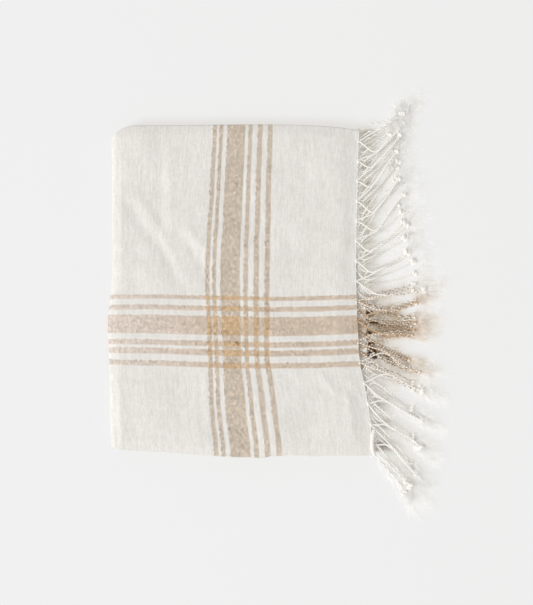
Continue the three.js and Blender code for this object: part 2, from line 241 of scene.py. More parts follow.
SHEET_PITCH = CLOTH["thickness"] + CLOTH["gap"]
LEVEL_PITCH = 2 * SHEET_PITCH
FOLD_RADIUS = SHEET_PITCH / 2
FOLD_LENGTH = math.pi * FOLD_RADIUS
HALF_STRAIGHT = (CLOTH["width"] - FOLD_LENGTH) / 2
DOUBLE_HALF = FOLD_RADIUS + CLOTH["thickness"] / 2
TOP_EDGE = PANEL["bottom"] + HALF_STRAIGHT + DOUBLE_HALF
ROOT_PITCH = HALF_STRAIGHT / ROOTS_PER_HALF


def ease(t):
    t = np.clip(t, 0.0, 1.0)
    return t * t * (3 - 2 * t)


def through(knots, values, at):
    """A smooth line through the values at the knots, and level beyond them. The values may be arrays."""
    order = np.argsort(knots)
    knots = np.asarray(knots, dtype=float)[order]
    values = np.asarray(values, dtype=float)[order]
    slopes = np.gradient(values, knots, axis=0)
    at = np.clip(at, knots[0], knots[-1])
    i = np.clip(np.searchsorted(knots, at, side="right") - 1, 0, len(knots) - 2)
    gap = knots[i + 1] - knots[i]
    t = (at - knots[i]) / gap
    if values.ndim > 1:
        pick = (i, np.arange(len(at)))
        pick_next = (i + 1, np.arange(len(at)))
    else:
        pick, pick_next = i, i + 1
    start = values[pick] * (1 + 2 * t) * (1 - t) ** 2 + slopes[pick] * gap * t * (1 - t) ** 2
    stop = values[pick_next] * t * t * (3 - 2 * t) - slopes[pick_next] * gap * t * t * (1 - t)
    return start + stop


def read(rows, key, column, at):
    return through(rows[key], rows[column], at)


# The route of the doubled cloth, seen from the selvedges.
def level_height(level):
    return DOUBLE_HALF + level * LEVEL_PITCH


def lay_route():
    """The runs and half turns of the route, each with its start and length along the cloth."""
    wide_turn = PANEL["left"] + 1.5 * LEVEL_PITCH + DOUBLE_HALF
    tucked_turn = PANEL["right"] - PANEL["tuck"] - LEVEL_PITCH / 2 - DOUBLE_HALF
    tight_turn = wide_turn + PANEL["inner_ease"]
    runs = [
        (3, PANEL["right"], wide_turn),
        (0, wide_turn, tucked_turn),
        (1, tucked_turn, tight_turn),
        (2, tight_turn, PANEL["right"]),
    ]
    pieces = []
    start = 0.0
    facing = 1.0
    for i, (level, begin, end) in enumerate(runs):
        z = level_height(level)
        side = math.copysign(1.0, end - begin)
        length = abs(end - begin)
        run = dict(kind="run", begin=begin, side=side, z=z, facing=facing)
        pieces.append(dict(run, start=start, length=length))
        start += length
        if i + 1 < len(runs):
            next_z = level_height(runs[i + 1][0])
            radius = abs(next_z - z) / 2
            rise = math.copysign(1.0, next_z - z)
            turn = dict(kind="turn", x=end, z=(z + next_z) / 2, radius=radius, side=side, rise=rise)
            pieces.append(dict(turn, outward=-facing * rise, start=start, length=math.pi * radius))
            start += math.pi * radius
            facing = -facing
    return pieces, start


ROUTE, CLOTH_LENGTH = lay_route()


def route_at(u):
    """The place and outer normal of the doubled cloth's middle, in X and Z, at distances along it."""
    x, z, nx, nz = (np.zeros_like(u) for _ in range(4))
    for i, piece in enumerate(ROUTE):
        after = u >= piece["start"] if i else np.full(u.shape, True)
        before = u < piece["start"] + piece["length"] if i + 1 < len(ROUTE) else np.full(u.shape, True)
        here = after & before
        along = u[here] - piece["start"]
        if piece["kind"] == "run":
            x[here] = piece["begin"] + piece["side"] * along
            z[here] = piece["z"]
            nz[here] = piece["facing"]
        else:
            angle = along / piece["radius"]
            rx = piece["side"] * np.sin(angle)
            rz = -piece["rise"] * np.cos(angle)
            x[here] = piece["x"] + piece["radius"] * rx
            z[here] = piece["z"] + piece["radius"] * rz
            nx[here] = piece["outward"] * rx
            nz[here] = piece["outward"] * rz
    return x, z, nx, nz


def half_fold_at(v):
    """The section of the cloth folded across its width, at distances from the front selvedge."""
    fold_y = PANEL["bottom"] + HALF_STRAIGHT
    front = v <= HALF_STRAIGHT
    back = v >= HALF_STRAIGHT + FOLD_LENGTH
    angle = np.clip((v - HALF_STRAIGHT) / FOLD_RADIUS, 0, math.pi)
    y = np.where(front, PANEL["bottom"] + v, fold_y + FOLD_RADIUS * np.sin(angle))
    y = np.where(back, fold_y - (v - HALF_STRAIGHT - FOLD_LENGTH), y)
    ny = np.where(front | back, 0.0, np.sin(angle))
    nw = np.cos(angle)
    return y, FOLD_RADIUS * nw, ny, nw


# How the folded cloth has settled. Each kind of its unevenness has a wavelength, a strength and a seed.
RUMPLES = {
    "swell": (34, 0.14, 3),
    "ripple": (12, 0.05, 5),
    "creep": (34, 0.5, 11),
    "breath": (55, 0.03, 17),
}

# How far up the cloth below the stripes has crept: on top, and added inside, where each layer has its own.
CREEP = {"top": -0.8, "inner": 0.6, "apart": 90}


def rumple(kind, x, y, waves=26):
    """One kind of unevenness, with bumps about its wavelength across."""
    wavelength, strength, seed = RUMPLES[kind]
    draw = np.random.default_rng(seed)
    total = np.zeros_like(x)
    for _ in range(waves):
        heading = draw.uniform(0, math.pi)
        number = 2 * math.pi / (wavelength * draw.uniform(0.7, 1.5))
        phase = draw.uniform(0, 2 * math.pi)
        total += np.cos(number * (x * math.cos(heading) + y * math.sin(heading)) + phase)
    return strength * (total * math.sqrt(2 / waves))


def side_slip(x, y):
    columns = ("left", "border_left", "border_right", "right")
    knots = (PANEL["left"], BORDER["left"], BORDER["right"], PANEL["right"])
    return through(knots, np.array([read(SIDE_SLIP, "y", name, y) for name in columns]), x)


def up_slip(x, y):
    columns = ("selvedge", "stripes", "fold")
    knots = (PANEL["bottom"], STRIPES_Y, TOP_EDGE)
    slip = through(knots, np.array([read(UP_SLIP, "x", name, x) for name in columns]), y)
    inset = np.clip(1 - (x - PANEL["left"]) / CORNER["radius"], 0, 1)
    return slip - CORNER["drop"] * inset**2 * np.exp((y - TOP_EDGE) / CORNER["reach"])


def crease_relief(x, y):
    relief = np.zeros_like(x)
    for x1, y1, x2, y2, half_width, height in zip(*CREASES.values()):
        dx, dy = x2 - x1, y2 - y1
        share = np.clip(((x - x1) * dx + (y - y1) * dy) / (dx * dx + dy * dy), 0, 1)
        apart = np.hypot(x - x1 - share * dx, y - y1 - share * dy) / half_width
        relief += CREASE["strength"] * height * np.exp(-(apart ** CREASE["steepness"]))
    return relief


def loft_share(x, y):
    """How much of its height the top layer's loft keeps near the edges of the folded panel."""
    from_edges = {
        "left": x - PANEL["left"],
        "right": PANEL["right"] - x,
        "top": TOP_EDGE - y,
        "bottom": y - PANEL["bottom"],
    }
    share = np.ones_like(x)
    for side, distance in from_edges.items():
        share *= ease(distance / TOP_LOFT[side])
    return share


def top_loft(x, y):
    """How far the top layer stands off the one below it: air under the cloth, with its creases."""
    height = TOP_LOFT["height"] + crease_relief(x, y)
    height += rumple("swell", x, y) + rumple("ripple", x, y)
    return np.maximum(height, TOP_LOFT["least"])


def settled(u, v, n):
    """Where points of the cloth lie: u along it, v across it, and n through its thickness."""
    flat_x, z, nx, nz = route_at(u)
    flat_y, w, ny, nw = half_fold_at(v)
    on_front = (1 + w / FOLD_RADIUS) / 2
    w = w + n * nw
    flat_x = flat_x + nx * w
    flat_y = flat_y + n * ny
    z = z + nz * w
    second = ease(1 - (CLOTH_LENGTH - u) / END_SLIP_FADE)
    inner = 1 - np.where(u < ROUTE[0]["length"], on_front, 0.0)
    low = ease((STRIPES_Y - flat_y) / (STRIPES_Y - PANEL["bottom"]))
    per_layer = rumple("creep", flat_x, CREEP["apart"] * np.round(z / SHEET_PITCH))
    creep = CREEP["top"] + inner * (CREEP["inner"] + per_layer)
    x = flat_x + side_slip(flat_x, flat_y) + second * read(END_SLIP, "y", "out", flat_y)
    y = flat_y + up_slip(flat_x, flat_y) + low * creep + second * (1 - low) * END_SHIFT
    breathing = 1 + rumple("breath", x, y)
    lift = (1 - inner) * loft_share(flat_x, flat_y) * top_loft(x, y)
    return np.stack([x, y, z * breathing + lift], axis=-1)


# Meshes.
def spans(*parts):
    """The grid lines of one span after another, each given by its length and its number of cells."""
    lines = [0.0]
    for length, cells in parts:
        lines += [lines[-1] + length * (i + 1) / cells for i in range(cells)]
    return np.array(lines)


RIM = ((0.12, 1), (0.2, 1), (0.35, 1), (0.6, 1))
RIM_WIDTH = sum(length for length, _ in RIM)


def cloth_lines():
    """The grid lines along the cloth and across it, closest on the top layer and round the rims."""
    cells = {"top": 122, "low": 24, "wide": 12, "turn": 7}
    runs = [piece["length"] for piece in ROUTE]
    along = spans(
        *RIM,
        (runs[0] - RIM_WIDTH, cells["top"]),
        (runs[1], cells["wide"]),
        (runs[2], cells["low"]),
        (runs[3], cells["turn"]),
        (runs[4], cells["low"]),
        (runs[5], cells["turn"]),
        (runs[6] - RIM_WIDTH, cells["low"]),
        *reversed(RIM),
    )
    half = HALF_STRAIGHT - RIM_WIDTH
    across = spans(*RIM, (half, 158), (FOLD_LENGTH, 6), (half, 24), *reversed(RIM))
    return along, across


def rounded(distance):
    """The share of the full thickness at a distance from a rim."""
    radius, least = 0.45, 0.25
    inside = np.clip(1 - distance / radius, 0, 1)
    return least + (1 - least) * np.sqrt(1 - inside**2)


def cloth_mesh(name):
    """The whole cloth as one closed thin sheet, with its place along and across the weave as its UV map."""
    along, across = cloth_lines()
    rows, columns = len(along), len(across)
    u, v = (grid.ravel() for grid in np.meshgrid(along, across, indexing="ij"))
    rim = np.minimum(np.minimum(u, CLOTH_LENGTH - u), np.minimum(v, CLOTH["width"] - v))
    half = CLOTH["thickness"] / 2 * rounded(rim)
    points = np.concatenate([settled(u, v, half), settled(u, v, -half)])
    points[:, 2] = np.maximum(points[:, 2], 0.0)

    cells = np.meshgrid(np.arange(rows - 1), np.arange(columns - 1), indexing="ij")
    i, j = (grid.ravel() for grid in cells)
    corner = i * columns + j
    outer = np.stack([corner, corner + 1, corner + columns + 1, corner + columns], axis=1)
    inner = outer[:, ::-1] + rows * columns
    loop = np.concatenate([
        np.arange(columns),
        np.arange(2, rows) * columns - 1,
        np.arange(rows * columns - 1, (rows - 1) * columns - 1, -1),
        np.arange(rows - 2, 0, -1) * columns,
    ])
    after = np.roll(loop, -1)
    wall = np.stack([after, loop, loop + rows * columns, after + rows * columns], axis=1)
    faces = np.concatenate([outer, inner, wall])

    mesh = bpy.data.meshes.new(name)
    mesh.from_pydata((points * MM).tolist(), [], faces.tolist())
    weave = mesh.uv_layers.new(name="weave")
    uv = np.tile(np.stack([u, v], axis=1) * MM, (2, 1))
    loops = np.empty(len(mesh.loops), dtype=np.int32)
    mesh.loops.foreach_get("vertex_index", loops)
    weave.data.foreach_set("uv", uv[loops].ravel())
    mesh.shade_smooth()
    mesh.validate()
    return mesh


# The fringe.
def band_share(bands, start, stop):
    """The share of tan between two places."""
    tan = sum(max(0.0, min(stop, high) - max(start, low)) for low, high in bands)
    return tan / (stop - start)


def unevenness(index):
    """A repeatable number from 0 to 1 for a whole number."""
    value = math.sin(index * 12.9898 + 4.1) * 43758.5453
    return value - math.floor(value)


def at_one(function, *places):
    """A function of arrays, at one place."""
    return float(function(*(np.array([float(place)]) for place in places))[0])


def strip_reach(y):
    """How far out the strip reaches that holds the roots, at a height."""
    edge = PANEL["right"] + float(read(SIDE_SLIP, "y", "right", y))
    beyond = max(0.0, float(read(END_SLIP, "y", "out", y)))
    return edge + ROOT_STRIP["gap"] + ROOT_STRIP["width"] + beyond


# The fringe's plies and loose fibres, in millimetres, degrees and shares.
PAIR = {"helix": 0.45, "knot_at": 0.66, "steps": 60, "sway": 0.35}
BOW = {"least": 0.12, "spread": 0.5, "steps": 10, "lift": 0.3}
STRAYS = {"from": 9.0, "every": 5, "height_share": 0.4, "fading": 0.7, "copies": 2.5, "low": -58.0}
# Strays glow less near the start of their pairs, so that they read darker beside the edge: painted shade.
STRAYS_GLOW = {"least": 0.6, "full_from": 20.0}
# Fine fibres beside the roots are tinted beige and glow little: painted warm shade over their real shadow.
SHADED = {"places": 5, "beyond": 6.0, "from_ends": 6.0, "height": 1.4, "tan": 0.24, "airy": 0.2}
COMPANIONS = {"least_tan": 0.4, "from_step": 6, "ease": 12.0, "shifts": (1.7, -1.7), "tints": (0.5, 0.85)}
COMPANION_LAY = {"height_share": 0.8, "stagger": 2.1, "least_tint": 0.5}
SHADE_GAP_FIBRES = {"density": 1.7, "height": 1.2, "seed": 8}
TIP_UNEVENNESS = 8.0
TAN_NEAR = {"reach": 5.0, "knot": 0.75, "tuft": 0.42, "tuft_airy": 0.8, "tuft_more_glow": 0.9}


def fan(column, y):
    """A number from the fan's table, at a height."""
    return float(read(FAN, "y", column, y))


def pair_line(start_y, row, pair_index):
    """The line down the middle of a laid pair of plies, as points with headings and distances."""
    chance = [unevenness(pair_index + 17 * row["rest"] + 31 * i) - 0.5 for i in range(5)]
    turn = row["turn"] + HEADING_UNEVENNESS * chance[0]
    leave = math.radians(fan("leave", start_y) + turn)
    tip = math.radians(fan("tip", start_y) + turn)
    reach = fan("reach", start_y) + LATTICE_REACH - row["lattice"] + TIP_UNEVENNESS * chance[1]
    step = reach / PAIR["steps"]
    open_share = row["lattice"] / LATTICE_REACH
    x = strip_reach(start_y) + row["lattice"] + open_share * LATTICE_UNEVENNESS["out"] * chance[3]
    y = start_y + open_share * (fan("shear", start_y) + LATTICE_UNEVENNESS["up"] * chance[4])
    line = [(x, y, leave, 0.0)]
    for i in range(1, PAIR["steps"] + 1):
        share = (i - 0.5) / PAIR["steps"]
        heading = leave + (tip - leave) * float(ease(share))
        heading += PAIR["sway"] * chance[2] * math.sin(2 * math.pi * share)
        x += step * math.cos(heading)
        y += step * math.sin(heading)
        line.append((x, y, heading, i * step))
    return line


def within(places, x, y):
    """Whether a point is in one of a table's ovals."""
    apart = ((x - places["x"]) / places["half_x"]) ** 2 + ((y - places["y"]) / places["half_y"]) ** 2
    return bool((apart < 1).any())


def cord_height(x, y, root_height, end, row):
    """The height of a cord, which falls from its root to where its row rests."""
    beyond = x - strip_reach(y) - row["lattice"] - end["lag"]
    return root_height + (row["rest"] - root_height) * float(ease(beyond / FALL_REACH))


def hermite(start, stop, leave, arrive, steps):
    """Points of a smooth line between two places, with its directions at both."""
    t = np.linspace(0, 1, steps, endpoint=False)[:, None]
    start, stop, leave, arrive = (np.array(value, dtype=float) for value in (start, stop, leave, arrive))
    first = start * (1 + 2 * t) * (1 - t) ** 2 + leave * t * (1 - t) ** 2
    return first + stop * t * t * (3 - 2 * t) - arrive * t * t * (1 - t)


def stray_places(root_height, line, end, row, tan):
    """Where loose fibres lie along a pair, with headings, shares of tan, and how much they glow, less near
    the pair's start as painted shade.
    """
    places = []
    low = line[0][1] < STRAYS["low"]
    start = STRAYS["from"] * (0.3 if low else 1 - tan)
    for x, y, heading, distance in line[:: STRAYS["every"]]:
        if distance < start or within(OPENINGS, x, y) or within(DEEP_GAPS, x, y):
            continue
        z = STRAYS["height_share"] * cord_height(x, y, root_height, end, row)
        share = tan * (1 - STRAYS["fading"] * float(ease(distance / line[-1][3])))
        full = float(ease(distance / STRAYS_GLOW["full_from"]))
        airy = STRAYS_GLOW["least"] + (1 - STRAYS_GLOW["least"]) * full
        places += [((x, y, z), heading, share, airy)] * (1 + low + round(STRAYS["copies"] * tan))
    return places


def shaded_places(root, start, tan):
    """Where fine loose fibres lie in the shade between a root and the start of a pair, tinted beige and dim
    as painted shade.
    """
    step = (start[0] + SHADED["beyond"] - root[0]) / SHADED["places"]
    y = min(max(start[1], PANEL["bottom"] + SHADED["from_ends"]), TOP_EDGE - SHADED["from_ends"])
    places = [(root[0] + step * (i + 0.5), y, SHADED["height"]) for i in range(SHADED["places"])]
    places = [place for place in places if not within(DEEP_GAPS, *place[:2])]
    return [(place, 0.0, max(SHADED["tan"], tan), SHADED["airy"]) for place in places]


def companions(line, row, side, tint, end, root_height):
    """Plies that lie beside a tan pair, so that it is as full as a loose bundle."""
    plies = []
    for shift, share in zip(COMPANIONS["shifts"], COMPANIONS["tints"]):
        points, laid = [], []
        for x, y, heading, distance in line[COMPANIONS["from_step"]:]:
            aside = shift * float(ease(distance / COMPANIONS["ease"]))
            x, y = x - aside * math.sin(heading), y + aside * math.cos(heading)
            z = COMPANION_LAY["height_share"] * cord_height(x, y, root_height, end, row)
            points.append((x, y, z))
            laid.append(distance + COMPANION_LAY["stagger"] * shift)
        plies.append({"points": points, "laid": laid, "side": side, "tint": share * tint, "row": row})
    return plies


def shade_gap_places():
    """Where the deep brown fibres of painted shade lie in the deep gaps."""
    draw = np.random.default_rng(SHADE_GAP_FIBRES["seed"])
    places = []
    for x, y, half_x, half_y, heading in zip(*DEEP_GAPS.values()):
        for _ in range(round(SHADE_GAP_FIBRES["density"] * half_x * half_y)):
            out, angle = math.sqrt(draw.uniform(0, 1)), draw.uniform(0, 2 * math.pi)
            aside, up = half_x * out * math.cos(angle), half_y * out * math.sin(angle)
            place = (x + aside, y + up, SHADE_GAP_FIBRES["height"])
            places.append((place, math.radians(heading), 1.0, 0.0))
    return places


def root_place(end, row, across):
    """Where a root leaves the cut edge, by its distance from the selvedge."""
    edge, outward = (0.0, -1) if end["at_start"] else (CLOTH_LENGTH, 1)
    v = across if row["front"] else CLOTH["width"] - across
    return settled(np.array([edge + outward * 0.2]), np.array([v]), np.zeros(1))[0]


def pair_start(root, height, side):
    """How high up the panel the pair starts that a root's ply goes to on one side."""
    height = max(height - side * ROOT_PITCH / 2, PANEL["bottom"] - 1)
    return height + at_one(up_slip, root[0], height)


def ply_from_root(root, line, end, row, side, k):
    """A ply, bowed from its root to the start of its pair, and then along the pair's line."""
    x, y, heading, _ = line[0]
    sideways = side * PAIR["helix"]
    begin = (x - sideways * math.sin(heading), y + sideways * math.cos(heading))
    begin = (*begin, cord_height(x, y, root[2], end, row))
    reach = math.dist(begin[:2], root[:2])
    along = np.subtract(begin[:2], root[:2])
    chance = unevenness(3 * k + side + 7 * row["rest"]) - 0.5
    bow = -side * (BOW["least"] + BOW["spread"] * chance)
    leave = (along[0] - bow * along[1], along[1] + bow * along[0], BOW["lift"])
    arrive = (reach * math.cos(heading), reach * math.sin(heading), -BOW["lift"])
    points = hermite(root, begin, leave, arrive, BOW["steps"]).tolist()
    laid = [-reach * (1 - i / BOW["steps"]) for i in range(BOW["steps"])]
    for x, y, _, distance in line:
        points.append((x, y, cord_height(x, y, root[2], end, row)))
        laid.append(distance)
    return {"points": points, "laid": laid, "side": side, "row": row}


def corner_yarn():
    """The thick loose yarn at the lower corner, as a ply."""
    points = list(zip(*CORNER_YARN.values()))
    row = {"thick": 2.4, "depth": 0.0}
    return {"points": points, "laid": [-1.0] * len(points), "side": 1, "tint": 0.0, "row": row}


def lay_fringe(end):
    """Both rows of an end's fringe: its plies, its knots, its roots and the places of its loose fibres."""
    plies, knots, roots, tufts, strays, shaded = ([] for _ in range(6))
    near = TAN_NEAR["reach"]
    for row, k in [(row, k) for row in end["rows"] for k in range(ROOTS_PER_HALF)]:
        across = (k + row["phase"]) * ROOT_PITCH
        root = root_place(end, row, across)
        tint = band_share(WARP_BANDS, across - ROOT_PITCH / 2, across + ROOT_PITCH / 2)
        roots.append((root, 0.0, tint))
        for side in (1, -1):
            start_y = pair_start(root, PANEL["bottom"] + across, side)
            line = pair_line(start_y, row, k if side > 0 else k + 1)
            wound = line[: round(PAIR["knot_at"] * PAIR["steps"]) + 1]
            ply = ply_from_root(root, wound, end, row, side, k)
            plies.append(dict(ply, tint=tint))
            tan = band_share(WARP_BANDS, across - side * ROOT_PITCH - near, across + near)
            if tan > COMPANIONS["least_tan"]:
                beside = max(tint, COMPANION_LAY["least_tint"])
                plies += companions(wound, row, side, beside, end, root[2])
            if side < 0 and k < ROOTS_PER_HALF - 1:
                continue
            knot, heading = ply["points"][-1], wound[-1][2]
            knots.append((knot, heading, TAN_NEAR["knot"] * tan))
            # Tufts glow a little, and the tan ones glow more: painted light.
            airy = TAN_NEAR["tuft_airy"] + TAN_NEAR["tuft_more_glow"] * tan
            turned = heading + math.radians(fan("tuft", start_y))
            tufts.append((knot, turned, TAN_NEAR["tuft"] * tan, airy))
            strays += stray_places(root[2], line, end, row, tan)
            shaded += shaded_places(root, line[0], tan)
    if end["at_start"]:
        plies.append(corner_yarn())
    return plies, knots, roots, {"tufts": tufts, "strays": strays, "shaded": shaded}


# Nodes, written as sums and calls.
def written(operation, swapped=False):
    """A method that adds a Math node to a socket's tree."""
    def add_node(self, *others):
        values = (*others, self) if swapped else (self, *others)
        return self.tree.node("ShaderNodeMath", {"operation": operation}, dict(enumerate(values)))
    return add_node


class Socket:
    """A node's socket that sums can be written on."""

    def __init__(self, tree, socket):
        self.tree = tree
        self.socket = socket

    __add__ = written("ADD")
    __radd__ = written("ADD", swapped=True)
    __sub__ = written("SUBTRACT")
    __rsub__ = written("SUBTRACT", swapped=True)
    __mul__ = written("MULTIPLY")
    __rmul__ = written("MULTIPLY", swapped=True)
    __truediv__ = written("DIVIDE")
    __pow__ = written("POWER")
    floor = written("FLOOR")
    fraction = written("FRACT")
    size = written("ABSOLUTE")
    sine = written("SINE")
    cosine = written("COSINE")
    at_most = written("MINIMUM")
    at_least = written("MAXIMUM")
    wrapped = written("FLOORED_MODULO")


def found(sockets, key):
    """A socket by its number or by its name."""
    if isinstance(key, int):
        return sockets[key]
    return next(socket for socket in sockets if socket.name == key and socket.enabled)


def give(node, sockets):
    """Sets a node's sockets, to plain values or to what other nodes work out."""
    for key, value in sockets.items():
        socket = found(node.inputs, key)
        if isinstance(value, Socket):
            value.tree.group.links.new(value.socket, socket)
        else:
            socket.default_value = value


class Tree:
    """A node tree, to which nodes are added by type, settings and the values of their sockets."""

    def __init__(self, group):
        self.group = group

    def node(self, kind, settings=None, sockets=None, output=0):
        made = self.group.nodes.new(kind)
        for name, value in (settings or {}).items():
            setattr(made, name, value)
        give(made, sockets or {})
        return Socket(self, found(made.outputs, output))

    def vector(self, x=0.0, y=0.0, z=0.0):
        return self.node("ShaderNodeCombineXYZ", sockets={"X": x, "Y": y, "Z": z})

    def parts(self, vector):
        first = self.node("ShaderNodeSeparateXYZ", sockets={"Vector": vector})
        return [Socket(self, output) for output in first.socket.node.outputs]

    def move(self, operation, *vectors):
        return self.node("ShaderNodeVectorMath", {"operation": operation}, dict(enumerate(vectors)))

    def scaled(self, vector, scale):
        sockets = {"Vector": vector, "Scale": scale}
        return self.node("ShaderNodeVectorMath", {"operation": "SCALE"}, sockets)

    def noise(self, vector, scale=1.0, detail=2.0):
        sockets = {"Vector": vector, "Scale": scale, "Detail": detail}
        return self.node("ShaderNodeTexNoise", {}, sockets, "Fac")

    def uneven(self, x, y, layer, detail):
        """Noise over two numbers; each layer has its own."""
        return self.noise(self.vector(x, y, layer), detail=detail)

    def colour(self, factor, first, second, mode="MIX"):
        settings = {"data_type": "RGBA", "blend_type": mode}
        return self.node("ShaderNodeMix", settings, {0: factor, 6: first, 7: second}, 2)

    def between(self, value, low, high):
        """0 below low and 1 above high, with a soft step between."""
        sockets = {"Value": value, "From Min": low, "From Max": high}
        return self.node("ShaderNodeMapRange", {"interpolation_type": "SMOOTHSTEP"}, sockets)

    def carried(self, name):
        """A number that the mesh carries under a name."""
        return self.node("ShaderNodeAttribute", {"attribute_name": name}, output="Fac")

    def place(self):
        return self.node("ShaderNodeTexCoord", output="Object")


def srgb(red, green, blue):
    """A colour as read on a screen, from 0 to 255, as the light it sends back."""
    def linear(value):
        value /= 255
        return value / 12.92 if value <= 0.04045 else ((value + 0.055) / 1.055) ** 2.4
    return (linear(red), linear(green), linear(blue), 1.0)


def new_material(name, roughness, sheen=0.0, gloss=0.25):
    material = bpy.data.materials.new(name)
    material.use_nodes = True
    shader = material.node_tree.nodes["Principled BSDF"]
    give(shader, {"Roughness": roughness, "Specular IOR Level": gloss})
    give(shader, {"Sheen Weight": sheen, "Sheen Roughness": 0.6})
    return material, shader, Tree(material.node_tree)


def bump(tree, height, distance):
    """The relief of threads, as a normal."""
    return tree.node("ShaderNodeBump", {}, {"Height": height, "Distance": distance, "Strength": 1.0})


# The cloth's colours. The warp's tan fades between two distances from the cut ends.
WHITE = srgb(234, 231, 226)
WHITE_SHADE = srgb(228, 224, 218)
WEFT_TAN = srgb(201, 187, 170)
WARP_TAN = srgb(206, 188, 169)
WARP_TAN_FADED = srgb(217, 204, 193)
CROSSED_TAN = srgb(207, 179, 145)
YARN_TAN = srgb(186, 152, 116)
THREADS = {"weft_pitch": 0.92, "warp_pitch": 0.78, "drift": 0.9}

# How strongly each unevenness shades the cloth: everywhere, more in the bands, and more where they cross.
SHADING = {
    "slub": (0.11, 0.25, 0.0),
    "fleck": (0.14, 0.5, 0.0),
    "patches": (0.05, 0.12, 0.35),
    "blur": (0.06, 0.14, 0.3),
    "streak": (0.2, 0.6, 0.5),
    "grain": (0.04, 0.26, 0.0),
    "columns": (0.13, 0.0, 0.0),
}
BRIGHTNESS = {"mean": 1.02, "weft_streak": 0.3, "gap": 0.12}
BAND_EDGE = {"fade": 0.45, "fleck": 1.1, "streak": 2.0, "weft_drift": 1.3, "warp_drift": 1.1}
TOP_YARN_SHARE = 0.25
FADING = (95.0, 175.0)
WEAVE_HEIGHT = {"threads": 0.08, "slub": 0.10, "fleck": 0.06}
YARN_PITCH = {"strand": 2.4, "fibre": 0.9}


def band_mask(tree, place, bands):
    """1 where a place, in millimetres, is in one of the bands."""
    mask = 0.0
    fade = BAND_EDGE["fade"]
    for start, stop in bands:
        half = (stop - start) / 2
        away = (place - (start + stop) / 2).size()
        mask = mask + (1 - tree.between(away, half - fade, half + fade))
    return mask.at_most(1.0)


def lay_threads(tree, along, across):
    """The threads at each place: which two cross, how far off their middles, and which is on top."""
    weft_drift = tree.uneven(along * 0.05, across * 0.07, 0.0, 2.0) - 0.5
    warp_drift = tree.uneven(along * 0.07, across * 0.05, 7.0, 2.0) - 0.5
    weft_count = (along + weft_drift * THREADS["drift"]) / THREADS["weft_pitch"]
    warp_count = (across + warp_drift * THREADS["drift"]) / THREADS["warp_pitch"]
    weft, warp = weft_count.floor(), warp_count.floor()
    return SimpleNamespace(
        weft=weft,
        warp=warp,
        weft_drift=weft_drift,
        warp_drift=warp_drift,
        weft_side=(weft_count.fraction() * 2 - 1).size(),
        warp_side=(warp_count.fraction() * 2 - 1).size(),
        weft_on_top=(weft + warp).wrapped(2.0),
    )


def spin_yarns(tree, along, across, threads):
    """Thick and thin, light and dark places: slubs and flecks along each thread, and blurs over many."""
    # A thread's number times an odd factor keeps it apart from the next thread in the noise.
    weft, warp, top = threads.weft, threads.warp, threads.weft_on_top
    weft_slub = tree.uneven(weft * 7.31, across * 0.09, 0.0, 1.0)
    warp_slub = tree.uneven(warp * 5.17, along * 0.12, 3.0, 1.0)
    weft_fleck = tree.uneven(weft * 3.77, across * 0.55, 9.0, 1.0)
    warp_fleck = tree.uneven(warp * 4.19, along * 0.55, 11.0, 1.0)
    cell = tree.vector(weft, warp)
    return {
        "weft_slub": weft_slub,
        "slub": weft_slub * top + warp_slub * (1 - top),
        "fleck": weft_fleck * top + warp_fleck * (1 - top),
        "patches": tree.uneven(along * 0.05, across * 0.04, 5.0, 2.0),
        "blur": tree.uneven(along * 0.35, across * 0.35, 6.0, 2.0),
        "streak": tree.uneven(weft * 6.13, across * 0.3, 13.0, 2.0),
        "grain": tree.node("ShaderNodeTexWhiteNoise", {}, {"Vector": cell}, "Value"),
        "columns": tree.uneven(along * 0.4, across * 0.015, 17.0, 3.0),
    }


def weave_bands(tree, end_distance, side_distance, threads, yarns):
    """The shares of tan in the weft and in the warp, where any is tan, and where both are."""
    ragged = (yarns["fleck"] - 0.5) * BAND_EDGE["fleck"] + (yarns["streak"] - 0.5) * BAND_EDGE["streak"]
    weft_place = end_distance + threads.weft_drift * BAND_EDGE["weft_drift"] + ragged
    warp_place = side_distance + threads.warp_drift * BAND_EDGE["warp_drift"] + ragged
    weft, warp = band_mask(tree, weft_place, WEFT_BANDS), band_mask(tree, warp_place, WARP_BANDS)
    return SimpleNamespace(weft=weft, warp=warp, banded=weft.at_least(warp), crossed=weft * warp)


def dye(tree, end_distance, threads, yarns, bands):
    """The colour of the cloth from afar, mixed with that of the one yarn that lies on top."""
    warp_tan = tree.colour(tree.between(end_distance, *FADING), WARP_TAN, WARP_TAN_FADED)
    ground = tree.colour(tree.between(yarns["weft_slub"], 0.35, 0.65), WHITE_SHADE, WHITE)
    cloth = tree.colour(bands.weft, ground, WEFT_TAN)
    cloth = tree.colour(bands.warp, cloth, warp_tan)
    cloth = tree.colour(bands.crossed, cloth, CROSSED_TAN)
    tan_on_top = bands.weft * threads.weft_on_top + bands.warp * (1 - threads.weft_on_top)
    yarn = tree.colour(tan_on_top, ground, YARN_TAN)
    return tree.colour(bands.banded * TOP_YARN_SHARE, cloth, yarn)


def brightness(threads, yarns, bands):
    """How light each place is: its yarns' unevenness, and painted shade in the small gaps between four
    threads.
    """
    tone = BRIGHTNESS["mean"]
    for name, (everywhere, in_bands, at_crossings) in SHADING.items():
        strength = everywhere + in_bands * bands.banded + at_crossings * bands.crossed
        tone = tone + (yarns[name] - 0.5) * strength
    weft_only = bands.weft - bands.crossed
    tone = tone + (yarns["streak"] - 0.5) * BRIGHTNESS["weft_streak"] * weft_only
    # The small gaps between four threads are drawn darker: painted shade.
    return tone - (threads.weft_side * threads.warp_side) ** 3 * BRIGHTNESS["gap"]


